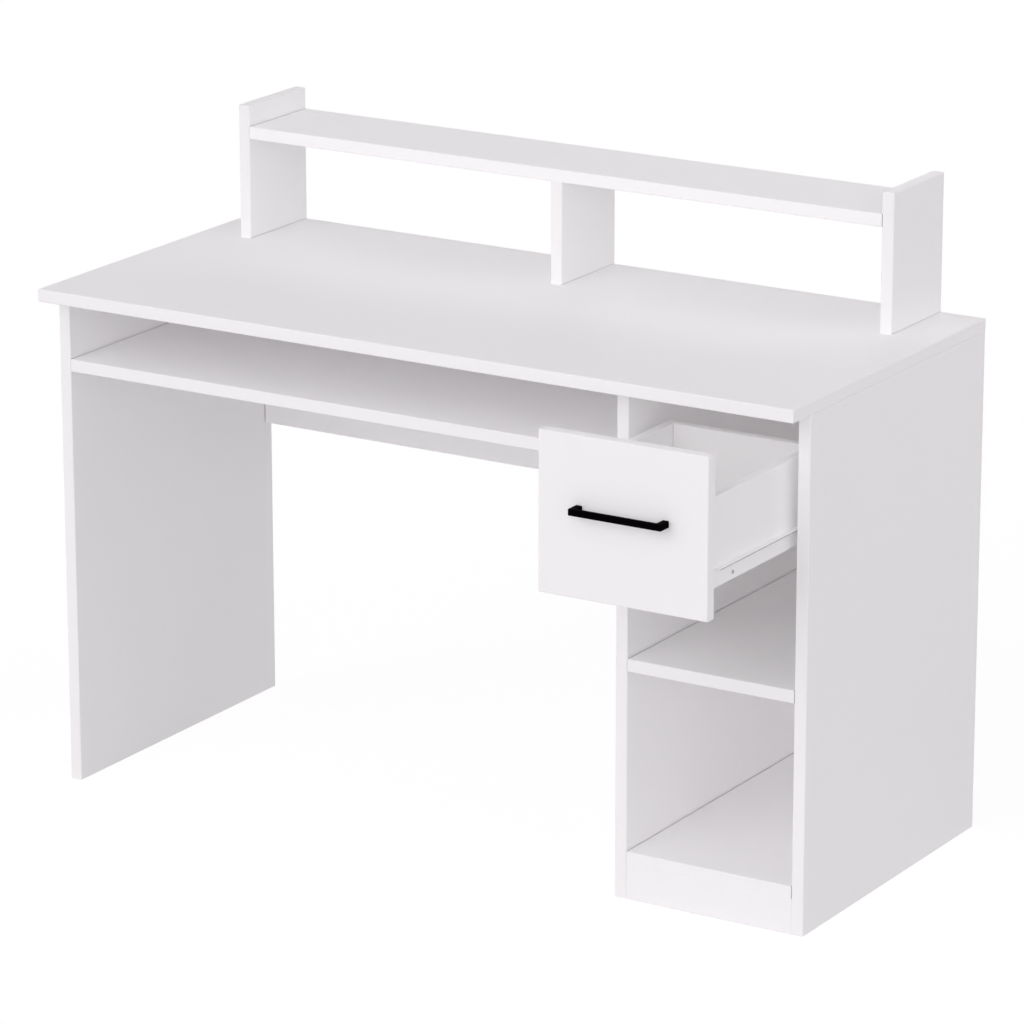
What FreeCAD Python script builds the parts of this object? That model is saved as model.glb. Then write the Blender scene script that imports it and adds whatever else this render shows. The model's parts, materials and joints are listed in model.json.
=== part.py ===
import FreeCAD, Part
import os

# A student desk with a drawer pedestal and a low hutch, made of white faced boards.
# Lengths are in millimetres. X runs from left to right, Y from front to back, Z up from the floor.
# While the pieces are made, X starts at the desk's middle and Y at the side panels' front edges.
# The drawer is drawn fully open, with its front standing its whole travel ahead of the panels.

# Boards
board = 18.0                # carcass boards and drawer front
drawer_board = 12.0         # drawer sides and back
hardboard = 3.0             # pedestal back and drawer bottom
edge_bevel = 1.0            # trimming of the banded edges and of the butted ends
groove_depth = 6.0          # grooves that hold the hardboard
groove_fit = 0.2            # play of hardboard in its groove, in thickness
groove_end_fit = 0.5        # play of hardboard at the bottom of its groove

# Desk
desk_width = 1200.0
panel_height = 720.0
panel_depth = 498.0
top_overhang = 48.0         # top panel ahead of the side panels
pedestal_width = 290.0      # outer face of the divider to the outer face of the right panel
keyboard_clear = 92.0       # keyboard shelf to the underside of the top
middle_shelf_height = 342.0
plinth_height = 50.0
plinth_end_gap = 0.8        # plinth to divider
modesty_height = 300.0
back_inset = 12.0           # pedestal back to the panels' back edges

# Hutch
hutch_inset = 68.3          # ends of the top panel to the outer faces of the hutch panels
hutch_depth = 146.0
hutch_height = 196.0
hutch_bay_height = 147.0    # top panel to the underside of the hutch shelf
hutch_divider_offset = 3.0  # divider to the right of the hutch's middle

# Drawer
face_side_gap = 1.8
face_top_gap = 2.0
face_height = 218.0
box_rise = 35.6             # lower edge of the front to the lower edges of the sides
box_height = 119.4
bottom_rise = 14.0          # lower edges of the sides to the drawer bottom

# Handle
handle_spacing = 128.0      # between the screws
handle_leg = 9.0            # width of a leg, along the bar
handle_bar = 5.5            # depth of the bar, front to back
handle_height = 9.0
handle_reach = 21.0         # front face of the drawer to the front of the bar
handle_drop = 97.0          # upper edge of the drawer front to the middle of the bar
handle_bevel = 0.6
handle_screw_radius = 2.0
handle_screw_bite = 8.0
handle_head_radius = 3.8
handle_head_height = 2.4

# Roller runners, one pair on each side of the drawer
runner_gap = 12.5           # pedestal wall to drawer side
runner_length = 300.0
runner_setback = 2.0        # ends of the runners behind the back face of the drawer front
runner_height = 26.6        # lip to running flange on the drawer's member
flange_setback = 12.6       # front end of the drawer's member to its running flange
runner_lip = 10.0           # lip under the drawer side
sheet = 1.0                 # runner steel
channel_drop = 4.1          # running flange to the channel below it
running_gap = 0.3           # between parts that pass each other
cabinet_roller_radius = 10.0
cabinet_roller_inset = 16.0
drawer_roller_radius = 7.0
drawer_roller_inset = 9.0
open_spacing = 41.0         # between the rollers of one side with the drawer fully open
flange_start_gap = 3.0      # cabinet roller to the channel's flanges
stop_height = 6.0
notch_share = 0.73          # along the drawer's member, to the notch where it lifts off the roller
notch_end_share = 0.88
notch_height = 14.6
notch_round = 6.0
pin_radius = 2.0
pin_fit = 0.05
pin_head_radius = 3.2
pin_head_height = 1.0
runner_screw_radius = 1.75
runner_screw_length = 11.0
runner_head_radius = 3.2
runner_head_height = 0.9
cabinet_screw_shares = (0.24, 0.9)
drawer_screw_shares = (0.21, 0.91)
runner_screw_rise = 8.5     # lower edge of the drawer side to the screws of its member

# Fittings of the butt joints. What lies hidden in the boards is many-sided, as fluted dowels are.
peg_sides = 7
cam_sides = 12
fit_gap = 0.1               # radial play of a fitting in its hole
end_gap = 1.0               # spare depth of a hole
overrun = 1.0               # how far a cut passes the face it starts from
dowel_radius = 4.0
dowel_length = 32.0
dowel_face_share = 0.6      # of the board whose face the dowel enters
cam_radius = 7.5
cam_setback = 34.0          # board end to the middle of the cam
cam_floor = 3.5             # cam below the axis of its bolt
bolt_radius = 2.5
bolt_face_share = 0.6       # of the board whose face the bolt enters
bolt_reach = 31.0           # board end to the tip of the bolt, inside the cam
cam_inset = 90.0            # from the ends of a long joint
dowel_inset = 45.0
modesty_cam_share = 0.2     # of the modesty panel's height, from each end
top_dowel_share = 0.25      # of the modesty panel's length, from each end
plinth_dowel_share = 0.2
hutch_dowel_share = 0.2     # of the hutch's depth
hutch_screw_share = 0.24
drawer_dowel_shares = (0.2, 0.5, 0.8)
back_dowel_shares = (0.3, 0.75)

# Screws that come up through the top panel into the hutch panels
hutch_screw_radius = 3.0
hutch_screw_length = 50.0
hutch_head_radius = 5.0
hutch_head_height = 4.0

# Directions
right = FreeCAD.Vector(1, 0, 0)
back = FreeCAD.Vector(0, 1, 0)
up = FreeCAD.Vector(0, 0, 1)

# Planes of the desk
right_side = desk_width / 2
left_side = -right_side
left_inner = left_side + board
right_inner = right_side - board
divider_left = right_side - pedestal_width
divider_right = divider_left + board
top_height = panel_height + board
keyboard_top = panel_height - keyboard_clear
keyboard_bottom = keyboard_top - board
modesty_front = panel_depth - board
modesty_bottom = panel_height - modesty_height
bottom_shelf_top = plinth_height + board
pedestal_back_front = panel_depth - back_inset - hardboard

# Planes of the hutch
hutch_front = panel_depth - hutch_depth
hutch_right = right_side - hutch_inset
hutch_left = left_side + hutch_inset
hutch_top = top_height + hutch_height
hutch_shelf_bottom = top_height + hutch_bay_height
hutch_shelf_top = hutch_shelf_bottom + board
hutch_divider_left = hutch_divider_offset - board / 2
hutch_divider_right = hutch_divider_left + board

# Planes of the drawer. Its travel ends where the rollers of one side come to the stop.
cabinet_roller_y = board + runner_setback + cabinet_roller_inset
drawer_roller_y = cabinet_roller_y + open_spacing
drawer_travel = board + runner_length - drawer_roller_inset - drawer_roller_y
face_front = -drawer_travel
face_back = face_front + board
face_left = divider_right + face_side_gap
face_right = right_inner - face_side_gap
face_top = panel_height - face_top_gap
face_bottom = face_top - face_height
box_left = divider_right + runner_gap
box_right = right_inner - runner_gap
box_back = face_back + runner_length
box_bottom = face_bottom + box_rise
box_top = box_bottom + box_height
bottom_face = box_bottom + bottom_rise
drawer_middle = (box_left + box_right) / 2
handle_middle = face_top - handle_drop
handle_front = face_front - handle_reach

# Planes of the runners
flange_top = box_bottom - sheet + runner_height
flange_bottom = flange_top - sheet
channel_top = flange_bottom - channel_drop
drawer_roller_z = channel_top - sheet - running_gap - drawer_roller_radius
channel_bottom = drawer_roller_z - drawer_roller_radius - running_gap - sheet
cabinet_roller_z = flange_bottom - running_gap - cabinet_roller_radius
cabinet_runner_front = board + runner_setback
drawer_runner_front = face_back + runner_setback
channel_depth = runner_gap - sheet - runner_head_height - running_gap

# The frame stands on the floor under the middle of the desk's box.
frame_middle = (handle_front + panel_depth) / 2

# Every piece by its name, the holes to be cut from it, and the groups of like fittings
pieces = {}
holes = {}
groups = {}


def block(x_span, y_span, z_span):
    low = FreeCAD.Vector(x_span[0], y_span[0], z_span[0])
    return Part.makeBox(x_span[1] - x_span[0], y_span[1] - y_span[0], z_span[1] - z_span[0], low)


def faced_board(x_span, y_span, z_span, banded):
    """A board whose banded edges are trimmed to a bevel along its broad faces."""
    blank = block(x_span, y_span, z_span)
    spans = {"left right": x_span, "front back": y_span, "bottom top": z_span}
    thin = min(spans, key=lambda sides: spans[sides][1] - spans[sides][0])
    trimmed = []
    for edge in blank.Edges:
        middle = edge.CenterOfMass
        sides = []
        for names, span, place in zip(spans, spans.values(), middle):
            for name, limit in zip(names.split(), span):
                if abs(place - limit) < edge_bevel:
                    sides.append(name)
        on_broad_face = any(side in thin for side in sides)
        if on_broad_face and any(side in banded for side in sides):
            trimmed.append(edge)
    return blank.makeChamfer(edge_bevel, trimmed)


def rod(radius, start, length):
    """A round bar along X."""
    return Part.makeCylinder(radius, length, right * start, right)


def prism(radius, sides, foot, height):
    """A many-sided bar from its foot along its height, with its corners at the radius."""
    axis = FreeCAD.Vector(height).normalize()
    first = (up if abs(axis.x) > abs(axis.z) else right) * radius
    corners = [FreeCAD.Rotation(axis, 360 * turn / sides).multVec(first) + foot for turn in range(sides)]
    return extruded(corners, height)


def peg(radius, start, length):
    """A many-sided bar along X."""
    return prism(radius, peg_sides, right * start, right * length)


def turned(outline):
    """A solid turned about X from points of distance along X and radius."""
    points = [FreeCAD.Vector(along, radius, 0) for along, radius in outline]
    wire = Part.makePolygon(points + points[:1])
    return Part.Face(wire).revolve(FreeCAD.Vector(), right, 360)


def extruded(points, direction):
    wire = Part.makePolygon(points + points[:1])
    return Part.Face(wire).extrude(direction)


def placed(shape, point, along, facing):
    """A copy whose own X points along, and whose own Z points facing."""
    turn = FreeCAD.Rotation(along, facing.cross(along), facing, "XZY")
    copy = shape.copy()
    copy.Placement = FreeCAD.Placement(point, turn)
    return copy


def drill(tool, names):
    for name in names:
        holes.setdefault(name, []).append(tool)


def gather(group, shape):
    groups.setdefault(group, []).append(shape)


# Fittings in their own frame. X is zero where the board's end meets the other board's face.
dowel_face_depth = board * dowel_face_share
bolt_face_depth = board * bolt_face_share
cam_depth = board / 2 + cam_floor
cam_foot = FreeCAD.Vector(cam_setback, 0, board / 2 - cam_depth)
dowel = peg(dowel_radius, -dowel_face_depth, dowel_length)
dowel_hole = peg(dowel_radius + fit_gap, -dowel_face_depth - end_gap, dowel_length + end_gap + end_gap)
cam_bolt = peg(bolt_radius, -bolt_face_depth, bolt_face_depth + bolt_reach)
bolt_hole = peg(bolt_radius + fit_gap, -bolt_face_depth - end_gap,
                bolt_face_depth + bolt_reach + end_gap + end_gap)
cam_disc = prism(cam_radius, cam_sides, cam_foot, up * cam_depth).cut(bolt_hole)
cam_seat = prism(cam_radius + fit_gap, cam_sides, cam_foot - up * fit_gap, up * (cam_depth + overrun))
cam_hole = cam_seat.fuse(bolt_hole)


def join(host, guest, corner, along, into, facing, cams, dowels, dowel_group="carcass_dowels"):
    """Fix the end of one board to the face of another.

    The places run from the corner along the joint, at the middle of the guest's thickness.
    Into points from the host's face into the guest, and the cams lie in the guest's facing side.
    """
    for place in cams:
        point = corner + along * place
        drill(placed(cam_hole, point, into, facing), (host, guest))
        gather("cam_bolts", placed(cam_bolt, point, into, facing))
        gather("cam_discs", placed(cam_disc, point, into, facing))
    for place in dowels:
        point = corner + along * place
        drill(placed(dowel_hole, point, into, facing), (host, guest))
        gather(dowel_group, placed(dowel, point, into, facing))


def ends(inset, length):
    return (inset, length - inset)


def desk_boards():
    depth = (0, panel_depth)
    height = (0, panel_height)
    around = ("front", "back", "left", "right")
    pieces["top_panel"] = faced_board((left_side, right_side), (-top_overhang, panel_depth),
                                      (panel_height, top_height), around)
    upright = ("front", "back", "bottom")
    pieces["left_side_panel"] = faced_board((left_side, left_inner), depth, height, upright)
    pieces["right_side_panel"] = faced_board((right_inner, right_side), depth, height, upright)
    pieces["pedestal_divider"] = faced_board((divider_left, divider_right), depth, height, upright)
    knee_span = (left_inner, divider_left)
    shelf_edges = ("front", "left", "right")
    pieces["keyboard_shelf"] = faced_board(knee_span, (0, modesty_front),
                                           (keyboard_bottom, keyboard_top), shelf_edges)
    pieces["modesty_panel"] = faced_board(knee_span, (modesty_front, panel_depth),
                                          (modesty_bottom, panel_height), ("bottom", "left", "right"))
    bay_span = (divider_right, right_inner)
    shelf_depth = (0, pedestal_back_front)
    middle_shelf = (middle_shelf_height - board, middle_shelf_height)
    pieces["pedestal_middle_shelf"] = faced_board(bay_span, shelf_depth, middle_shelf, shelf_edges)
    bottom_shelf = (plinth_height, bottom_shelf_top)
    pieces["pedestal_bottom_shelf"] = faced_board(bay_span, shelf_depth, bottom_shelf, shelf_edges)
    pieces["plinth"] = faced_board((divider_right + plinth_end_gap, right_inner), (0, board),
                                   (0, plinth_height), ("bottom",))


def hutch_boards():
    depth = (hutch_front, panel_depth)
    height = (top_height, hutch_top)
    upright = ("front", "back", "bottom", "top")
    around = ("front", "back", "left", "right")
    left_span = (hutch_left, hutch_left + board)
    right_span = (hutch_right - board, hutch_right)
    pieces["hutch_left_panel"] = faced_board(left_span, depth, height, upright)
    pieces["hutch_right_panel"] = faced_board(right_span, depth, height, upright)
    pieces["hutch_shelf"] = faced_board((left_span[1], right_span[0]), depth,
                                        (hutch_shelf_bottom, hutch_shelf_top), around)
    pieces["hutch_divider"] = faced_board((hutch_divider_left, hutch_divider_right), depth,
                                          (top_height, hutch_shelf_bottom), upright)


def pedestal_back():
    """The hardboard back, held in grooves of the divider and the right panel."""
    bite = groove_depth - groove_end_fit
    back_span = (pedestal_back_front, pedestal_back_front + hardboard)
    groove_span = (pedestal_back_front - groove_fit / 2, pedestal_back_front + hardboard + groove_fit / 2)
    across = (divider_right - bite, right_inner + bite)
    pieces["pedestal_back_panel"] = block(across, back_span, (plinth_height, panel_height))
    groove_height = (plinth_height, panel_height + overrun)
    grooves_across = (divider_right - groove_depth, right_inner + groove_depth)
    groove = block(grooves_across, groove_span, groove_height)
    drill(groove, ("pedestal_divider", "right_side_panel"))


def desk_joints():
    cams = ends(cam_inset, panel_depth)
    dowels = ends(dowel_inset, panel_depth)
    uprights = (("left_side_panel", left_side, right), ("pedestal_divider", divider_left, -right),
                ("right_side_panel", right_inner, -right))
    for name, face, facing in uprights:
        corner = FreeCAD.Vector(face + board / 2, 0, panel_height)
        join("top_panel", name, corner, back, -up, facing, cams, dowels)
    knee_ends = (("left_side_panel", left_inner, right), ("pedestal_divider", divider_left, -right))
    shelf_cams = ends(cam_inset, modesty_front)
    shelf_dowels = ends(dowel_inset, modesty_front)
    modesty_cams = ends(modesty_height * modesty_cam_share, modesty_height)
    for name, face, into in knee_ends:
        corner = FreeCAD.Vector(face, 0, keyboard_top - board / 2)
        join(name, "keyboard_shelf", corner, back, into, -up, shelf_cams, shelf_dowels)
        corner = FreeCAD.Vector(face, panel_depth - board / 2, modesty_bottom)
        join(name, "modesty_panel", corner, up, into, back, modesty_cams, (modesty_height / 2,))
    bay_ends = (("pedestal_divider", divider_right, right), ("right_side_panel", right_inner, -right))
    shelf_cams = (pedestal_back_front / 2,)
    shelf_dowels = ends(dowel_inset, pedestal_back_front)
    shelves = (("pedestal_middle_shelf", middle_shelf_height), ("pedestal_bottom_shelf", bottom_shelf_top))
    for shelf, height in shelves:
        for name, face, into in bay_ends:
            corner = FreeCAD.Vector(face, 0, height - board / 2)
            join(name, shelf, corner, back, into, -up, shelf_cams, shelf_dowels)
    knee_width = divider_left - left_inner
    corner = FreeCAD.Vector(left_inner, panel_depth - board / 2, panel_height)
    places = ends(knee_width * top_dowel_share, knee_width)
    join("top_panel", "modesty_panel", corner, right, -up, back, (), places)
    bay_width = right_inner - divider_right
    corner = FreeCAD.Vector(divider_right, board / 2, plinth_height)
    places = ends(bay_width * plinth_dowel_share, bay_width)
    join("pedestal_bottom_shelf", "plinth", corner, right, -up, back, (), places)


def headed_screw(radius, length, head_radius, head_height):
    """A screw along X, with the underside of its head at X zero."""
    return peg(radius, 0, length).fuse(peg(head_radius, -head_height, head_height))


def hutch_joints():
    dowels = ends(hutch_depth * hutch_dowel_share, hutch_depth)
    cams = (hutch_depth / 2,)
    shelf_middle = hutch_shelf_top - board / 2
    shelf_ends = (("hutch_left_panel", hutch_left + board, right),
                  ("hutch_right_panel", hutch_right - board, -right))
    for name, face, into in shelf_ends:
        corner = FreeCAD.Vector(face, hutch_front, shelf_middle)
        join(name, "hutch_shelf", corner, back, into, -up, cams, dowels)
    corner = FreeCAD.Vector(hutch_divider_offset, hutch_front, hutch_shelf_bottom)
    join("hutch_shelf", "hutch_divider", corner, back, -up, right, (), dowels)
    corner = FreeCAD.Vector(hutch_divider_offset, hutch_front, top_height)
    join("top_panel", "hutch_divider", corner, back, up, right, (), dowels)
    shank = hutch_screw_length - hutch_head_height
    screw = headed_screw(hutch_screw_radius, shank, hutch_head_radius, hutch_head_height)
    head_seat = peg(hutch_head_radius + fit_gap, -hutch_head_height - overrun, hutch_head_height + overrun)
    hole = peg(hutch_screw_radius + fit_gap, -overrun, shank + overrun + end_gap).fuse(head_seat)
    panels = (("hutch_left_panel", hutch_left + board / 2), ("hutch_right_panel", hutch_right - board / 2))
    for name, middle in panels:
        for place in ends(hutch_depth * hutch_screw_share, hutch_depth):
            point = FreeCAD.Vector(middle, hutch_front + place, panel_height + hutch_head_height)
            drill(placed(hole, point, up, right), ("top_panel", name))
            gather("hutch_screws", placed(screw, point, up, right))


def drawer_boards():
    face_edges = ("left", "right", "bottom", "top")
    pieces["drawer_front"] = faced_board((face_left, face_right), (face_front, face_back),
                                         (face_bottom, face_top), face_edges)
    height = (box_bottom, box_top)
    left_span = (box_left, box_left + drawer_board)
    right_span = (box_right - drawer_board, box_right)
    pieces["drawer_left_side"] = faced_board(left_span, (face_back, box_back), height, ("top", "back"))
    pieces["drawer_right_side"] = faced_board(right_span, (face_back, box_back), height, ("top", "back"))
    inner_span = (left_span[1], right_span[0])
    pieces["drawer_back"] = faced_board(inner_span, (box_back - drawer_board, box_back), height,
                                        ("top", "left", "right"))


def drawer_bottom():
    """The hardboard bottom, in a groove that runs round the inside of the drawer."""
    bite = groove_depth - groove_end_fit
    inner_left = box_left + drawer_board
    inner_right = box_right - drawer_board
    inner_back = box_back - drawer_board
    sheet_span = (bottom_face, bottom_face + hardboard)
    pieces["drawer_bottom"] = block((inner_left - bite, inner_right + bite),
                                    (face_back - bite, inner_back + bite), sheet_span)
    groove = block((inner_left - groove_depth, inner_right + groove_depth),
                   (face_back - groove_depth, inner_back + groove_depth),
                   (bottom_face, bottom_face + hardboard + groove_fit))
    drill(groove, ("drawer_front", "drawer_left_side", "drawer_right_side", "drawer_back"))


def drawer_joints():
    sides = (("drawer_left_side", box_left, right), ("drawer_right_side", box_right, -right))
    front_dowels = [box_height * share for share in drawer_dowel_shares]
    back_dowels = [box_height * share for share in back_dowel_shares]
    for name, face, inward in sides:
        corner = FreeCAD.Vector(face, face_back, box_bottom) + inward * (drawer_board / 2)
        join("drawer_front", name, corner, up, back, inward, (), front_dowels, "drawer_dowels")
        corner = FreeCAD.Vector(face, box_back - drawer_board / 2, box_bottom) + inward * drawer_board
        join(name, "drawer_back", corner, up, inward, back, (), back_dowels, "drawer_dowels")


def drawer_handle():
    """A bar pull cut from one piece: two legs and the bar across their ends."""
    half = handle_spacing / 2
    outer = half + handle_leg / 2
    inner = half - handle_leg / 2
    bar_back = handle_front + handle_bar
    base = handle_middle - handle_height / 2
    outline = [(-outer, face_front), (-outer, handle_front), (outer, handle_front), (outer, face_front),
               (inner, face_front), (inner, bar_back), (-inner, bar_back), (-inner, face_front)]
    points = [FreeCAD.Vector(drawer_middle + x, y, base) for x, y in outline]
    pull = extruded(points, up * handle_height)
    trimmed = [edge for edge in pull.Edges if edge.BoundBox.YMin < face_front - handle_bevel]
    pieces["drawer_handle"] = pull.makeChamfer(handle_bevel, trimmed)
    length = board + handle_screw_bite
    screw = headed_screw(handle_screw_radius, length, handle_head_radius, handle_head_height)
    hole = peg(handle_screw_radius + fit_gap, -overrun, length + overrun + end_gap)
    for x in (-half, half):
        point = FreeCAD.Vector(drawer_middle + x, face_back, handle_middle)
        drill(placed(hole, point, -back, up), ("drawer_front", "drawer_handle"))
        gather("handle_screws", placed(screw, point, -back, up))


runner_screw = headed_screw(runner_screw_radius, runner_screw_length, runner_head_radius, runner_head_height)
runner_screw_hole = peg(runner_screw_radius + fit_gap, -overrun, runner_screw_length + end_gap + overrun)


def roller_shape(radius):
    """A nylon wheel turned about X, between the head of its pin and the steel."""
    bore = pin_radius + pin_fit
    start = runner_head_height + running_gap + pin_head_height + running_gap
    end = runner_gap - sheet - sheet - running_gap
    return turned([(start, bore), (start, radius), (end, radius), (end, bore)])


def roller_pin_shape():
    """A headed pin along X, from its head to the outside of the steel that holds it."""
    start = runner_head_height + running_gap
    return turned([(start, 0), (start, pin_head_radius), (start + pin_head_height, pin_head_radius),
                   (start + pin_head_height, pin_radius), (runner_gap - sheet, pin_radius),
                   (runner_gap - sheet, 0)])


roller_pin = roller_pin_shape()
pin_hole = rod(pin_radius + pin_fit, runner_gap - sheet - sheet - running_gap, sheet + running_gap + overrun)


def cabinet_runner(wall, inward):
    """The channel on the pedestal's wall, cut back to its web where the front roller stands."""
    edge = wall + inward * channel_depth
    web = wall + inward * sheet
    front = cabinet_runner_front
    outline = [(wall, channel_bottom), (edge, channel_bottom), (edge, channel_bottom + sheet),
               (web, channel_bottom + sheet), (web, channel_top - sheet), (edge, channel_top - sheet),
               (edge, channel_top), (wall, channel_top)]
    points = [FreeCAD.Vector(x, front, z) for x, z in outline]
    channel = extruded(points, back * runner_length)
    flange_start = cabinet_roller_y + cabinet_roller_radius + flange_start_gap
    past_edge = edge + inward * overrun
    clear = block(sorted((web, past_edge)), (front - overrun, flange_start),
                  (channel_bottom - overrun, channel_top + overrun))
    stop_back = drawer_roller_y - drawer_roller_radius - running_gap
    stop = block(sorted((web, edge)), (stop_back - sheet, stop_back),
                 (channel_top - sheet - stop_height, channel_top - sheet))
    return channel.cut(clear).fuse(stop).removeSplitter()


def drawer_runner(wall, inward):
    """The angle under the drawer side, whose upper flange runs on the cabinet's roller."""
    web = wall + inward * (runner_gap - sheet)
    side = wall + inward * runner_gap
    lip = side + inward * runner_lip
    flange = wall + inward * (sheet + runner_head_height)
    lip_bottom = box_bottom - sheet
    outline = [(web, lip_bottom), (lip, lip_bottom), (lip, box_bottom), (side, box_bottom),
               (side, flange_top), (flange, flange_top), (flange, flange_bottom), (web, flange_bottom)]
    points = [FreeCAD.Vector(x, drawer_runner_front, z) for x, z in outline]
    length = box_back - drawer_runner_front
    angle = extruded(points, back * length)
    past_flange = flange - inward * overrun
    clear = block(sorted((web, past_flange)),
                  (drawer_runner_front - overrun, drawer_runner_front + flange_setback),
                  (flange_bottom - overrun, flange_top + overrun))
    notch_start = drawer_runner_front + length * notch_share
    notch_end = drawer_runner_front + length * notch_end_share
    notch_top = lip_bottom + notch_height
    turn = notch_start - notch_round
    low = lip_bottom - overrun
    x = min(flange, lip)
    diagonal = notch_round * 0.5 ** 0.5
    arc = Part.Arc(FreeCAD.Vector(x, turn, lip_bottom),
                   FreeCAD.Vector(x, turn + diagonal, lip_bottom + notch_round - diagonal),
                   FreeCAD.Vector(x, notch_start, lip_bottom + notch_round)).toShape()
    corners = [(notch_start, lip_bottom + notch_round), (notch_start, notch_top), (notch_end, notch_top),
               (notch_end, low), (turn, low), (turn, lip_bottom)]
    rest = Part.makePolygon([FreeCAD.Vector(x, y, z) for y, z in corners])
    notch = Part.Face(Part.Wire([arc] + rest.Edges)).extrude(right * abs(lip - flange))
    return angle.cut(notch).cut(clear)


def runner_pair(hand, wall_name, wall, inward):
    """Both members of one side, with their rollers, pins and screws."""
    toward = right * inward
    cabinet = hand + "_cabinet_runner"
    drawer = hand + "_drawer_runner"
    side = wall + inward * runner_gap
    pieces[cabinet] = cabinet_runner(wall, inward)
    pieces[drawer] = drawer_runner(wall, inward)
    cabinet_axle = FreeCAD.Vector(side - inward * sheet, cabinet_roller_y, cabinet_roller_z)
    drawer_axle = FreeCAD.Vector(wall + inward * sheet, drawer_roller_y, drawer_roller_z)
    pieces[hand + "_cabinet_roller"] = placed(roller_shape(cabinet_roller_radius), cabinet_axle, -toward, up)
    pieces[hand + "_drawer_roller"] = placed(roller_shape(drawer_roller_radius), drawer_axle, toward, up)
    gather("cabinet_roller_pins", placed(roller_pin, cabinet_axle, -toward, up))
    gather("drawer_roller_pins", placed(roller_pin, drawer_axle, toward, up))
    drill(placed(pin_hole, cabinet_axle, -toward, up), (cabinet,))
    drill(placed(pin_hole, drawer_axle, toward, up), (drawer,))
    for share in cabinet_screw_shares:
        place = cabinet_runner_front + runner_length * share
        point = FreeCAD.Vector(wall + inward * sheet, place, drawer_roller_z)
        drill(placed(runner_screw_hole, point, -toward, up), (cabinet, wall_name))
        gather("cabinet_runner_screws", placed(runner_screw, point, -toward, up))
    for share in drawer_screw_shares:
        place = drawer_runner_front + (box_back - drawer_runner_front) * share
        point = FreeCAD.Vector(side - inward * sheet, place, box_bottom + runner_screw_rise)
        drill(placed(runner_screw_hole, point, toward, up), (drawer, "drawer_" + hand + "_side"))
        gather("drawer_runner_screws", placed(runner_screw, point, toward, up))


def save(name, shape):
    shape.translate(-back * frame_middle)
    shape.exportStep(os.path.join("parts", name + ".step"))


desk_boards()
hutch_boards()
pedestal_back()
desk_joints()
hutch_joints()
drawer_boards()
drawer_bottom()
drawer_joints()
drawer_handle()
runner_pair("left", "pedestal_divider", divider_right, 1)
runner_pair("right", "right_side_panel", right_inner, -1)

os.makedirs("parts", exist_ok=True)
for name, shape in pieces.items():
    if name in holes:
        shape = shape.cut(holes[name])
    save(name, shape)
for name, shapes in groups.items():
    save(name, Part.makeCompound(shapes))
print(len(pieces) + len(groups), "nodes")
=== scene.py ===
import json
import math

import bmesh
import bpy
import numpy as np
from mathutils import Matrix, Vector


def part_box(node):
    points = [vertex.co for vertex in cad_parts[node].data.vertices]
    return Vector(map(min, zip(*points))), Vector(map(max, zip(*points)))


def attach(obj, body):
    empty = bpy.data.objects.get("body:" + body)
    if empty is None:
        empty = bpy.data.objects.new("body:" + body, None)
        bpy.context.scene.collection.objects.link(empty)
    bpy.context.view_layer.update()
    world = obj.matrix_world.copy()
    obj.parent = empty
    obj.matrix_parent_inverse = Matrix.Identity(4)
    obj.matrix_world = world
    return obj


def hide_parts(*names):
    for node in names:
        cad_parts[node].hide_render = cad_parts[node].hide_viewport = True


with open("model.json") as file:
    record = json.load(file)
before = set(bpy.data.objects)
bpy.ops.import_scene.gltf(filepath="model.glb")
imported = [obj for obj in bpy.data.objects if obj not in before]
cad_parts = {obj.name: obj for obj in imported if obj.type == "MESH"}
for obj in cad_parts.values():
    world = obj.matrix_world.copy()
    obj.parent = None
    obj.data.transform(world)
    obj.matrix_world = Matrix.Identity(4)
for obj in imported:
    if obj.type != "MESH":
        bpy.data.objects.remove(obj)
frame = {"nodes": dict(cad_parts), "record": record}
nodes = frame["nodes"]
slotOf = {row["node"]: row["material_slot"] for row in frame["record"]["subparts"]}
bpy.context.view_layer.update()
print("desk frame loaded,", len(nodes), "nodes")

# camera: standing back on the right with a long lens, as in the picture
cameraSet = {
    "place": (3.67549, -5.84358, 2.54528),
    "ahead": (-0.502563, 0.814916, -0.288689),
    "roll": -0.048,  # degrees
    "lens": 183.818,  # mm
    "sensor": 36.0,  # mm
    "reach": 60.0,  # metres to the end of the view
    "bounces": 32,  # white bays pass light on many times
}


def makeCamera(s):
    data = bpy.data.cameras.new("deskCamera")
    data.sensor_width = s["sensor"]
    data.sensor_fit = "HORIZONTAL"
    data.lens = s["lens"]
    data.clip_end = s["reach"]
    data.dof.use_dof = False
    cam = bpy.data.objects.new("deskCamera", data)
    bpy.context.scene.collection.objects.link(cam)
    turn = Vector(s["ahead"]).to_track_quat("-Z", "Y").to_matrix().to_4x4()
    tilt = Matrix.Rotation(math.radians(s["roll"]), 4, "Z")
    cam.matrix_world = Matrix.Translation(Vector(s["place"])) @ turn @ tilt
    bpy.context.scene.camera = cam


makeCamera(cameraSet)
bpy.context.scene.view_settings.view_transform = "Standard"
bpy.context.scene.cycles.max_bounces = cameraSet["bounces"]
bpy.context.scene.cycles.diffuse_bounces = cameraSet["bounces"]
print("camera set")


# node helpers
def freshMaterial(name):
    mat = bpy.data.materials.new(name)
    mat.use_nodes = True
    tree = mat.node_tree
    tree.nodes.clear()
    return mat, tree


def add(tree, kind, values=None, **props):
    node = tree.nodes.new(kind)
    for key, value in props.items():
        setattr(node, key, value)
    for key, value in (values or {}).items():
        node.inputs[key].default_value = value
    return node


def wire(tree, pairs):
    for source, target in pairs:
        tree.links.new(source, target)


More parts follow.
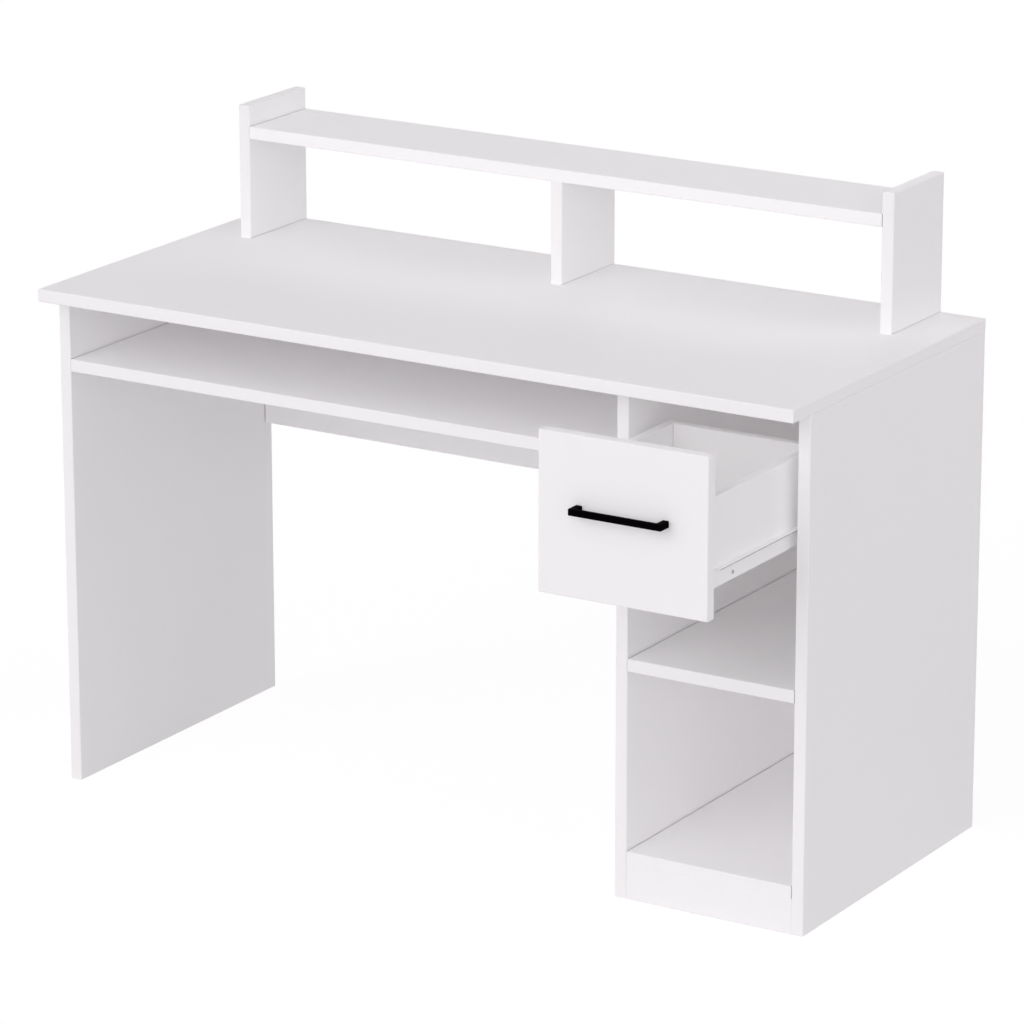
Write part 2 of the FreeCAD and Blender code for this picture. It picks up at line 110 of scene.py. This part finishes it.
def seenRay(tree):  # 1 for rays that the eye, a mirror or a glass sends, 0 for rays that carry light
    ray = add(tree, "ShaderNodeLightPath")
    first = add(tree, "ShaderNodeMath", operation="MAXIMUM")
    second = add(tree, "ShaderNodeMath", operation="MAXIMUM")
    wire(tree, [
        (ray.outputs["Is Camera Ray"], first.inputs[0]), (ray.outputs["Is Glossy Ray"], first.inputs[1]),
        (first.outputs[0], second.inputs[0]), (ray.outputs["Is Transmission Ray"], second.inputs[1]),
    ])
    return second.outputs[0]


# light: a pale room all round and wide soft lamps, each from its own side
lightSet = {
    "room": (1.0, 0.991, 1.0),
    "tint": (1.0, 0.974, 1.0),
    "roomLevel": 0.08,
    "away": 6.0,  # metres from the desk to a lamp
    "lamps": [  # compass 0 is the front and 90 the right, height and spread are degrees
        {"name": "topLamp", "compass": 0, "height": 85, "spread": 90, "power": 0.75},
        {"name": "rightLamp", "compass": 90, "height": 15, "spread": 80, "power": 1.11},
        {"name": "frontLamp", "compass": 0, "height": 25, "spread": 60, "power": 0.77},
        {"name": "frontRightLamp", "compass": 32, "height": 4, "spread": 60, "power": 0.64},
        {"name": "frontLeftLamp", "compass": -35, "height": 17, "spread": 60, "power": 0.76},
        {"name": "leftLamp", "compass": -90, "height": 4, "spread": 60, "power": 0.60},
        {"name": "backLamp", "compass": 180, "height": 4, "spread": 60, "power": 0.90},
    ],
}


def makeRoom(s):
    world = bpy.data.worlds.new("paleRoom")
    bpy.context.scene.world = world
    world.use_nodes = True
    tree = world.node_tree
    tree.nodes.clear()
    lit = add(tree, "ShaderNodeBackground", {"Color": s["room"] + (1.0,), "Strength": s["roomLevel"]})
    shown = add(tree, "ShaderNodeBackground", {"Color": s["room"] + (1.0,), "Strength": 1.0})
    pick = add(tree, "ShaderNodeMixShader")
    out = add(tree, "ShaderNodeOutputWorld")
    wire(tree, [
        (seenRay(tree), pick.inputs[0]), (lit.outputs[0], pick.inputs[1]), (shown.outputs[0], pick.inputs[2]),
        (pick.outputs[0], out.inputs["Surface"]),
    ])


def makeLamp(s, tint, away):
    data = bpy.data.lights.new(s["name"], "SUN")
    data.color = tint
    data.energy = s["power"]
    data.angle = math.radians(s["spread"])
    lamp = bpy.data.objects.new(s["name"], data)
    bpy.context.scene.collection.objects.link(lamp)
    turn, lift = math.radians(s["compass"]), math.radians(s["height"])
    towards = Vector((math.sin(turn) * math.cos(lift), -math.cos(turn) * math.cos(lift), math.sin(lift)))
    aim = towards.to_track_quat("Z", "Y").to_matrix().to_4x4()
    lamp.matrix_world = Matrix.Translation(towards * away) @ aim


makeRoom(lightSet)
for lampSet in lightSet["lamps"]:
    makeLamp(lampSet, lightSet["tint"], lightSet["away"])
print("room and lamps set,", len(lightSet["lamps"]), "lamps")

# floor: white to the eye, with a faint soft shadow under the desk
floorSet = {
    "half": 14.0,
    "colour": (0.76, 0.753, 0.76),  # as it lights the desk
    "glow": 0.87,  # as it is seen, with the shade on top
    "shade": 0.20,
    "drop": 0.0002,  # below the feet
}


def makeFloor(s):
    # flat square just under the feet, its four corners from (u, v) in -1..1 times the half size
    u, v = np.meshgrid([-1.0, 1.0], [-1.0, 1.0])
    corners = np.stack([u.ravel() * s["half"], v.ravel() * s["half"], np.full(4, -s["drop"])], 1)
    mesh = bpy.data.meshes.new("paleFloor")
    mesh.from_pydata(corners.tolist(), [], [(0, 1, 3, 2)])
    floor = bpy.data.objects.new("paleFloor", mesh)
    bpy.context.scene.collection.objects.link(floor)
    mat, tree = freshMaterial("paleFloor")
    plain = add(tree, "ShaderNodeBsdfDiffuse", {"Color": s["colour"] + (1.0,)})
    shade = add(tree, "ShaderNodeBsdfDiffuse", {"Color": (s["shade"],) * 3 + (1.0,)})
    glow = add(tree, "ShaderNodeEmission", {"Color": lightSet["room"] + (1.0,), "Strength": s["glow"]})
    both = add(tree, "ShaderNodeAddShader")
    pick = add(tree, "ShaderNodeMixShader")
    out = add(tree, "ShaderNodeOutputMaterial")
    wire(tree, [
        (shade.outputs[0], both.inputs[0]), (glow.outputs[0], both.inputs[1]),
        (seenRay(tree), pick.inputs[0]), (plain.outputs[0], pick.inputs[1]), (both.outputs[0], pick.inputs[2]),
        (pick.outputs[0], out.inputs["Surface"]),
    ])
    mesh.materials.append(mat)


makeFloor(floorSet)
print("floor set")

# finishes: each reads Object coordinates in metres, so a pattern keeps its size from board to board
# in their dictionaries patterns are in waves a metre, gloss is the specular level, relief is strength and metres
noiseSpan = (0.3, 0.7)  # most of a noise lies in here


def grain(tree, place, scale, low=0.0, high=1.0, detail=2.0):  # noise of so many waves a metre, from low to high
    noise = add(tree, "ShaderNodeTexNoise", {"Scale": scale, "Detail": detail})
    ends = {"From Min": noiseSpan[0], "From Max": noiseSpan[1], "To Min": low, "To Max": high}
    spread = add(tree, "ShaderNodeMapRange", ends)
    wire(tree, [(place, noise.inputs["Vector"]), (noise.outputs["Fac"], spread.inputs["Value"])])
    return spread.outputs["Result"]


def blendColours(tree, share, first, second):  # a colour, or a socket that carries one, on each side of the share
    mix = add(tree, "ShaderNodeMix", data_type="RGBA")  # its colour sockets are 6 and 7, and 2 on the way out
    wire(tree, [(share, mix.inputs[0])])
    for socket, colour in ((mix.inputs[6], first), (mix.inputs[7], second)):
        if isinstance(colour, tuple):
            socket.default_value = colour + (1.0,)
        else:
            wire(tree, [(colour, socket)])
    return mix.outputs[2]


def stretched(tree, place, scale):  # the same coordinates, drawn out along an axis
    mapping = add(tree, "ShaderNodeMapping", {"Scale": scale})
    wire(tree, [(place, mapping.inputs["Vector"])])
    return mapping.outputs["Vector"]


def raised(tree, height, strength, distance):
    bump = add(tree, "ShaderNodeBump", {"Strength": strength, "Distance": distance})
    wire(tree, [(height, bump.inputs["Height"])])
    return bump.outputs["Normal"]


def finishMaterial(tree, values, colour, rough, relief):
    shader = add(tree, "ShaderNodeBsdfPrincipled", values)
    out = add(tree, "ShaderNodeOutputMaterial")
    wire(tree, [
        (colour, shader.inputs["Base Color"]), (rough, shader.inputs["Roughness"]), (relief, shader.inputs["Normal"]),
        (shader.outputs[0], out.inputs["Surface"]),
    ])


# white faced board: pearl grain on the broad faces, smoother banding round the edges, with painted shade: near-black
# trim where an end is butted, grey trim at the drawer's back and the hutch's feet, darker bands on the hutch uprights
boardSet = {
    "pale": (0.964, 0.962, 0.963),
    "deep": (0.958, 0.956, 0.957),
    "band": (0.962, 0.960, 0.960),
    "shadedHutchBand": (0.918, 0.916, 0.916),  # painted shade: a darker band on the uprights of the hutch
    "jointShade": (0.035, 0.032, 0.030),  # painted shade: near-black trim at the butted ends, a painted shadow line in the joint
    "seamShade": (0.68, 0.67, 0.66),  # painted shade: grey trim at the drawer's back and the hutch's feet, a painted shadow line at these joints
    "cloud": 2.3,  # of the tone
    "pearl": 1100.0,  # of the grain
    "facePatch": 60.0,
    "faceRough": (0.50, 0.60),
    "bandPatch": 90.0,
    "bandRough": (0.42, 0.48),
    "gloss": 0.3,
    "relief": (0.10, 0.00004),
    "flat": 0.9,  # a normal this far along the thickness is on a broad face
    "tilted": 0.5,  # and this far along the board is on the trim of an end
    "butted": (
        "keyboard_shelf", "modesty_panel", "pedestal_middle_shelf", "pedestal_bottom_shelf", "hutch_shelf",
    ),
    "boxed": ("drawer_back",),
    "footed": ("hutch_left_panel", "hutch_divider", "hutch_right_panel"),
}


def along(tree, normal, way):  # how far a normal points along a way, 1 at most
    dot = add(tree, "ShaderNodeVectorMath", {1: way}, operation="DOT_PRODUCT")
    wire(tree, [(normal, dot.inputs[0])])
    return dot.outputs["Value"]


def beyond(tree, value, limit):  # 1 where a value is over the limit
    over = add(tree, "ShaderNodeMath", {1: limit}, operation="GREATER_THAN")
    wire(tree, [(value, over.inputs[0])])
    return over.outputs[0]


def eitherWay(tree, value):
    size = add(tree, "ShaderNodeMath", operation="ABSOLUTE")
    wire(tree, [(value, size.inputs[0])])
    return size.outputs[0]


def facedBoard(s, axis, kind):
    mat, tree = freshMaterial(kind + "Board" + "XYZ"[axis])
    coords = add(tree, "ShaderNodeTexCoord")
    place, normal = coords.outputs["Object"], coords.outputs["Normal"]
    through = [float(k == axis) for k in range(3)]
    broad = beyond(tree, eitherWay(tree, along(tree, normal, through)), s["flat"])  # 0 on the edges
    face = blendColours(tree, grain(tree, place, s["cloud"]), s["pale"], s["deep"])
    # the hutch uprights take the darker band, which is painted shade
    colour = blendColours(tree, broad, s["shadedHutchBand"] if kind == "footed" else s["band"], face)
    # the trim of a butted end gets near-black painted shade, that of the drawer's back grey painted shade
    if kind in ("butted", "boxed"):
        ends = beyond(tree, eitherWay(tree, along(tree, normal, (1.0, 0.0, 0.0))), s["tilted"])
        colour = blendColours(tree, ends, colour, s["jointShade"] if kind == "butted" else s["seamShade"])
    # the trim under a hutch upright gets grey painted shade
    if kind == "footed":
        under = beyond(tree, along(tree, normal, (0.0, 0.0, -1.0)), s["tilted"])
        colour = blendColours(tree, under, colour, s["seamShade"])
    rough = add(tree, "ShaderNodeMix", data_type="FLOAT")  # its number sockets are 2 and 3
    wire(tree, [
        (broad, rough.inputs[0]), (grain(tree, place, s["bandPatch"], *s["bandRough"]), rough.inputs[2]),
        (grain(tree, place, s["facePatch"], *s["faceRough"]), rough.inputs[3]),
    ])
    relief = raised(tree, grain(tree, place, s["pearl"], detail=1.0), *s["relief"])
    finishMaterial(tree, {"Specular IOR Level": s["gloss"]}, colour, rough.outputs[0], relief)
    return mat


# white lacquered hardboard: the lacquer lets the pressed fibres show
hardboardSet = {
    "pale": (0.945, 0.942, 0.941),
    "deep": (0.925, 0.921, 0.919),
    "fibre": 700.0,
    "drawn": (1.0, 1.0, 0.22),  # long fibres, upright
    "patch": 40.0,
    "rough": (0.46, 0.60),
    "gloss": 0.3,
    "relief": (0.18, 0.00006),
}


def lacqueredHardboard(s):
    mat, tree = freshMaterial("lacqueredHardboard")
    place = add(tree, "ShaderNodeTexCoord").outputs["Object"]
    fibres = grain(tree, stretched(tree, place, s["drawn"]), s["fibre"], detail=3.0)
    colour = blendColours(tree, fibres, s["pale"], s["deep"])
    rough = grain(tree, place, s["patch"], *s["rough"])
    finishMaterial(tree, {"Specular IOR Level": s["gloss"]}, colour, rough, raised(tree, fibres, *s["relief"]))
    return mat


# raw beech of the dowels: fine lines with short dark flecks
beechSet = {
    "pale": (0.66, 0.47, 0.29),
    "deep": (0.55, 0.36, 0.20),
    "fleck": (0.40, 0.24, 0.12),
    "lines": 900.0,
    "linesDrawn": (0.12, 1.0, 1.0),
    "flecks": 1530.0,
    "flecksDrawn": (0.25, 1.0, 1.0),
    "flecksShare": (-2.6, 1.0),  # mostly under zero, so few show
    "patch": 300.0,
    "rough": (0.62, 0.76),
    "gloss": 0.25,
    "relief": (0.25, 0.00008),
}


def rawBeech(s):
    mat, tree = freshMaterial("rawBeech")
    place = add(tree, "ShaderNodeTexCoord").outputs["Object"]
    lines = grain(tree, stretched(tree, place, s["linesDrawn"]), s["lines"], detail=3.0)
    flecks = grain(tree, stretched(tree, place, s["flecksDrawn"]), s["flecks"], *s["flecksShare"])
    wood = blendColours(tree, lines, s["pale"], s["deep"])
    colour = blendColours(tree, flecks, wood, s["fleck"])
    rough = grain(tree, place, s["patch"], *s["rough"])
    finishMaterial(tree, {"Specular IOR Level": s["gloss"]}, colour, rough, raised(tree, lines, *s["relief"]))
    return mat


# zinc plate with a fine tumbled surface: bright and cloudy on cams, pins and most screws, dull on the runners' screws
zincSet = {
    "name": "zincPlate",
    "pale": (0.70, 0.70, 0.70),
    "deep": (0.50, 0.50, 0.51),
    "cloud": 420.0,
    "tumbled": 2520.0,
    "patch": 294.0,
    "rough": (0.26, 0.44),
    "relief": (0.15, 0.00003),
}
darkSet = {
    "name": "darkPlate",
    "pale": (0.47, 0.47, 0.475),
    "deep": (0.29, 0.29, 0.295),
    "cloud": 900.0,
    "tumbled": 5400.0,
    "patch": 630.0,
    "rough": (0.32, 0.50),
    "relief": (0.15, 0.00003),
}


def platedSteel(s):
    mat, tree = freshMaterial(s["name"])
    place = add(tree, "ShaderNodeTexCoord").outputs["Object"]
    colour = blendColours(tree, grain(tree, place, s["cloud"], detail=3.0), s["pale"], s["deep"])
    rough = grain(tree, place, s["patch"], *s["rough"])
    relief = raised(tree, grain(tree, place, s["tumbled"]), *s["relief"])
    finishMaterial(tree, {"Metallic": 1.0}, colour, rough, relief)
    return mat


# white epoxy coat of the runners: glossier than the boards, with a slight orange peel, and a painted shadow line on
# the cut edge of the running flange
runnerSet = {
    "pale": (0.955, 0.954, 0.955),
    "deep": (0.945, 0.944, 0.944),
    "flangeShade": (0.27, 0.265, 0.27),  # painted shadow line on the cut edge of the running flange
    "sheet": 0.001,
    "cutReach": 0.6,  # of the sheet, up and down from the middle of the cut edge
    "tone": 35.0,
    "peel": 520.0,
    "patch": 80.0,
    "rough": (0.34, 0.42),
    "gloss": 0.4,
    "relief": (0.12, 0.00006),
}


def epoxyCoat(s):
    mat, tree = freshMaterial("epoxyCoat")
    coords = add(tree, "ShaderNodeTexCoord")
    place, normal = coords.outputs["Object"], coords.outputs["Normal"]
    coat = blendColours(tree, grain(tree, place, s["tone"]), s["pale"], s["deep"])
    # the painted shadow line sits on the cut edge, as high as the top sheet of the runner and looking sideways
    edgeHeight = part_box("right_drawer_runner")[1].z - s["sheet"] / 2
    spot = add(tree, "ShaderNodeSeparateXYZ")
    level = add(tree, "ShaderNodeMath", {1: edgeHeight, 2: s["cutReach"] * s["sheet"]}, operation="COMPARE")
    shadedCut = add(tree, "ShaderNodeMath", operation="MULTIPLY")
    sideways = eitherWay(tree, along(tree, normal, (1.0, 0.0, 0.0)))
    wire(tree, [
        (place, spot.inputs[0]), (spot.outputs["Z"], level.inputs[0]),
        (level.outputs[0], shadedCut.inputs[0]), (sideways, shadedCut.inputs[1]),
    ])
    # the flange's cut edge gets the painted shadow line
    colour = blendColours(tree, shadedCut.outputs[0], coat, s["flangeShade"])
    rough = grain(tree, place, s["patch"], *s["rough"])
    relief = raised(tree, grain(tree, place, s["peel"], detail=1.0), *s["relief"])
    finishMaterial(tree, {"Specular IOR Level": s["gloss"]}, colour, rough, relief)
    return mat


# natural nylon of the rollers: milky, with faint turning marks
nylonSet = {
    "pale": (0.86, 0.85, 0.80),
    "deep": (0.80, 0.785, 0.73),
    "tone": 160.0,
    "marks": 1500.0,
    "drawn": (1.0, 0.1, 0.1),  # round the axle
    "patch": 240.0,
    "rough": (0.40, 0.52),
    "gloss": 0.4,
    "relief": (0.15, 0.00004),
}


def milkyNylon(s):
    mat, tree = freshMaterial("milkyNylon")
    place = add(tree, "ShaderNodeTexCoord").outputs["Object"]
    colour = blendColours(tree, grain(tree, place, s["tone"]), s["pale"], s["deep"])
    rough = grain(tree, place, s["patch"], *s["rough"])
    marks = grain(tree, stretched(tree, place, s["drawn"]), s["marks"])
    finishMaterial(tree, {"Specular IOR Level": s["gloss"]}, colour, rough, raised(tree, marks, *s["relief"]))
    return mat


# matte black coat of the bar pull: powder grain and next to no shine
handleSet = {
    "pale": (0.0020, 0.0014, 0.0020),
    "deep": (0.0007, 0.0005, 0.0007),
    "powder": 1600.0,
    "patch": 500.0,
    "rough": (0.52, 0.66),
    "gloss": 0.006,
    "relief": (0.22, 0.00006),
}


def blackCoat(s):
    mat, tree = freshMaterial("blackCoat")
    place = add(tree, "ShaderNodeTexCoord").outputs["Object"]
    powder = grain(tree, place, s["powder"])
    colour = blendColours(tree, powder, s["deep"], s["pale"])
    rough = grain(tree, place, s["patch"], *s["rough"])
    finishMaterial(tree, {"Specular IOR Level": s["gloss"]}, colour, rough, raised(tree, powder, *s["relief"]))
    return mat


boardMats = {}
plainMats = {
    "white_hardboard": lacqueredHardboard(hardboardSet),
    "beech": rawBeech(beechSet),
    "zinc_steel": platedSteel(zincSet),
    "white_steel": epoxyCoat(runnerSet),
    "white_nylon": milkyNylon(nylonSet),
    "black_metal": blackCoat(handleSet),
}


def boardFinish(name):
    low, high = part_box(name)
    thin = int(np.argmin(np.array(high) - np.array(low)))  # the axis through the board's thickness
    kind = next((k for k in ("butted", "boxed", "footed") if name in boardSet[k]), "faced")
    if (kind, thin) not in boardMats:
        boardMats[kind, thin] = facedBoard(boardSet, thin, kind)
    return boardMats[kind, thin]


def dress(name):
    mesh = nodes[name].data
    mesh.materials.clear()
    mesh.materials.append(plainMats.get(slotOf[name]) or boardFinish(name))


for name in nodes:
    dress(name)
print("finishes set on", len(nodes), "nodes")

# heads of the fittings: one grid of rings and angles, whose inner rings follow a cross recess and outer rings a circle
headSet = {
    "steps": 3,  # angles between two corners of the cross
    "merge": 1e-6,  # metres, closes the poles
    "sharp": 32.0,  # degrees, edges beyond this stay crisp
}
goldenAngle = math.pi * (3.0 - math.sqrt(5.0))


def crossRadius(turn, arm, half):
    # at each angle the farther outline of two crossed bars, each as long as the arm and as wide as twice the half
    tiny = 1e-9  # keeps the division from zero
    c, s = np.abs(np.cos(turn)) + tiny, np.abs(np.sin(turn)) + tiny
    return np.maximum(np.minimum(arm / c, half / s), np.minimum(half / c, arm / s))


def headGrid(s, rows):
    # radius = share of the cross + circle, height from the row; the angles take in the corners of the cross
    corner = math.atan2(s["half"], s["arm"])
    knots = [0.0, corner, math.pi / 4, math.pi / 2 - corner, math.pi / 2]
    places = np.arange(4 * headSet["steps"]) / headSet["steps"]
    quarter = np.interp(places, np.arange(5), knots)
    turn = (quarter + np.arange(4)[:, None] * math.pi / 2).ravel()
    share, circle, height = np.array(rows).T
    radius = np.outer(share, crossRadius(turn, s["arm"], s["half"])) + circle[:, None]
    return np.stack([radius * np.cos(turn), radius * np.sin(turn), height[:, None] + 0.0 * radius], 2)


# each row of a profile: share of the cross, radius of the circle, height
def panRows(s):  # recess, low dome, rim, shank; height 0 is the seat of the head
    r, h, deep = s["radius"], s["height"], s["height"] - s["depth"]
    return [
        (0, 0, deep), (0.6, 0, deep), (1.0, 0, 0.99 * h), (0, 0.62 * r, 0.94 * h), (0, 0.84 * r, 0.78 * h),
        (0, 0.96 * r, 0.48 * h), (0, r, 0.16 * h), (0, r, 0), (0, s["shank"], 0), (0, s["shank"], -s["length"]),
        (0, 0, -s["length"]),
    ]


def sunkRows(s):  # recess, flat face, cone down to the shank; height 0 is the face of the board
    r, top = s["radius"], -s["sink"]
    return [
        (0, 0, top - s["depth"]), (0.6, 0, top - s["depth"]), (1.0, 0, top), (0, 0.96 * r, top), (0, r, 1.6 * top),
        (0, s["shank"], top - s["height"]), (0, s["shank"], -s["length"]), (0, 0, -s["length"]),
    ]


def camRows(s):  # recess, flat face a little below the board, chamfer, wall of the drum
    r, top = s["radius"], -s["sink"]
    return [
        (0, 0, top - s["depth"]), (0.85, 0, top - s["depth"]), (1.0, 0, top), (0, 0.93 * r, top),
        (0, r, 2.2 * top), (0, r, -s["length"]), (0, 0, -s["length"]),
    ]


def makeHeads(name, s, rows, seats, body, finish):
    # every seat has its place and the way out; the cross is turned by the golden angle from one to the next
    grid = headGrid(s, rows)
    place, out = np.array([seat[0] for seat in seats]), np.array([seat[1] for seat in seats], float)
    side = np.roll(out, 1, axis=1)
    across = np.cross(out, side)
    turn = (np.arange(len(seats)) * goldenAngle)[:, None]
    first = side * np.cos(turn) + across * np.sin(turn)
    second = across * np.cos(turn) - side * np.sin(turn)
    axes = np.stack([first, second, out], 1)
    points = place[:, None, None, :] + np.einsum("rac,nck->nrak", grid, axes)
    count, rings, angles = points.shape[:3]
    index = np.arange(count * rings * angles).reshape(count, rings, angles)
    ahead = np.roll(index, -1, axis=2)
    quads = np.stack([index[:, :-1], ahead[:, :-1], ahead[:, 1:], index[:, 1:]], -1).reshape(-1, 4)
    mesh = bpy.data.meshes.new(name)
    mesh.from_pydata(points.reshape(-1, 3).tolist(), [], quads.tolist())
    work = bmesh.new()
    work.from_mesh(mesh)
    bmesh.ops.remove_doubles(work, verts=work.verts, dist=headSet["merge"])
    bmesh.ops.recalc_face_normals(work, faces=work.faces)
    work.to_mesh(mesh)
    work.free()
    mesh.shade_smooth()
    mesh.set_sharp_from_angle(angle=math.radians(headSet["sharp"]))
    mesh.materials.append(finish)
    piece = bpy.data.objects.new(name, mesh)
    bpy.context.scene.collection.objects.link(piece)
    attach(piece, body)
    return piece


# cams that draw the boards together, in the faces that look inwards, down or back
camSet = {
    "radius": 0.00725, "sink": 0.0004, "length": 0.005, "arm": 0.0046, "half": 0.0008, "depth": 0.0022,
    "setback": 0.034,  # from the end of the board
    "inset": 0.090,  # from the ends of a long joint
    "panelInset": 0.060,  # on the modesty panel
}


def camSeats(s):
    seats = []
    for name, way in (("left_side_panel", 1), ("pedestal_divider", -1), ("right_side_panel", -1)):
        low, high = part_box(name)
        face = high.x if way > 0 else low.x
        for y in (low.y + s["inset"], high.y - s["inset"]):
            seats.append(((face, y, high.z - s["setback"]), (way, 0, 0)))
    low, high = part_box("modesty_panel")
    for x in (low.x + s["setback"], high.x - s["setback"]):
        for z in (low.z + s["panelInset"], high.z - s["panelInset"]):
            seats.append(((x, high.y, z), (0, 1, 0)))
    low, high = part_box("keyboard_shelf")
    for x in (low.x + s["setback"], high.x - s["setback"]):
        for y in (low.y + s["inset"], high.y - s["inset"]):
            seats.append(((x, y, low.z), (0, 0, -1)))
    for name in ("pedestal_middle_shelf", "pedestal_bottom_shelf", "hutch_shelf"):
        low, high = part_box(name)
        for x in (low.x + s["setback"], high.x - s["setback"]):
            seats.append(((x, (low.y + high.y) / 2, low.z), (0, 0, -1)))
    return seats


brightPlate = plainMats["zinc_steel"]
cams = makeHeads("camHeads", camSet, camRows(camSet), camSeats(camSet), "desk", brightPlate)
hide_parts("cam_discs")

# low pan-head screws of the runners
runnerScrewSet = {
    "radius": 0.0028, "height": 0.0009, "depth": 0.0008, "arm": 0.0015, "half": 0.0003,
    "shank": 0.0016, "length": 0.0105,
    "sheet": 0.001,  # steel under the head
    "onWall": (0.24, 0.90),  # shares of the member's length
    "onDrawer": (0.21, 0.91),
    "rise": 0.0085,  # above the lower edge of the drawer side
}


def wallSeats(s):
    seats = []
    for name, way in (("left_cabinet_runner", 1), ("right_cabinet_runner", -1)):
        low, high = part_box(name)
        wall = low.x if way > 0 else high.x
        for share in s["onWall"]:
            y = low.y + (high.y - low.y) * share
            seats.append(((wall + way * s["sheet"], y, (low.z + high.z) / 2), (way, 0, 0)))
    return seats


def drawerSeats(s):
    seats = []
    for hand, way in (("left", -1), ("right", 1)):
        low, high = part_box("drawer_" + hand + "_side")
        front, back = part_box(hand + "_drawer_runner")
        face = low.x if way < 0 else high.x
        for share in s["onDrawer"]:
            y = front.y + (back.y - front.y) * share
            seats.append(((face + way * s["sheet"], y, low.z + s["rise"]), (way, 0, 0)))
    return seats


runnerRows, darkPlate = panRows(runnerScrewSet), platedSteel(darkSet)
onWall, onDrawer = wallSeats(runnerScrewSet), drawerSeats(runnerScrewSet)
wallScrews = makeHeads("wallRunnerScrews", runnerScrewSet, runnerRows, onWall, "desk", darkPlate)
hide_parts("cabinet_runner_screws")
drawerScrews = makeHeads("drawerRunnerScrews", runnerScrewSet, runnerRows, onDrawer, "drawer", darkPlate)
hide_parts("drawer_runner_screws")

# screws of the bar pull, with their heads inside the drawer
handleScrewSet = {
    "radius": 0.0038, "height": 0.0024, "depth": 0.0017, "arm": 0.0021, "half": 0.0004,
    "shank": 0.0019, "length": 0.0255,
    "spacing": 0.128,
}


def handleSeats(s):
    low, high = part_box("drawer_handle")
    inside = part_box("drawer_front")[1].y
    x, z = (low.x + high.x) / 2, (low.z + high.z) / 2
    return [((x + way * s["spacing"] / 2, inside, z), (0, 1, 0)) for way in (-1, 1)]


handleRows, inFront = panRows(handleScrewSet), handleSeats(handleScrewSet)
handleScrews = makeHeads("handleScrewHeads", handleScrewSet, handleRows, inFront, "drawer", brightPlate)
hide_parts("handle_screws")

# countersunk screws under the top panel that hold the hutch
hutchScrewSet = {
    "radius": 0.00465, "sink": 0.0002, "height": 0.0034, "depth": 0.0021, "arm": 0.0026, "half": 0.00045,
    "shank": 0.0027, "length": 0.0495,
    "share": 0.24,  # of the hutch's depth
}


def hutchSeats(s):
    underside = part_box("top_panel")[0].z
    seats = []
    for name in ("hutch_left_panel", "hutch_right_panel"):
        low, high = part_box(name)
        step = (high.y - low.y) * s["share"]
        for y in (low.y + step, high.y - step):
            seats.append((((low.x + high.x) / 2, y, underside), (0, 0, -1)))
    return seats


hutchRows, underTop = sunkRows(hutchScrewSet), hutchSeats(hutchScrewSet)
hutchScrews = makeHeads("hutchScrewHeads", hutchScrewSet, hutchRows, underTop, "desk", brightPlate)
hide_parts("hutch_screws")
print("cams and screws made")
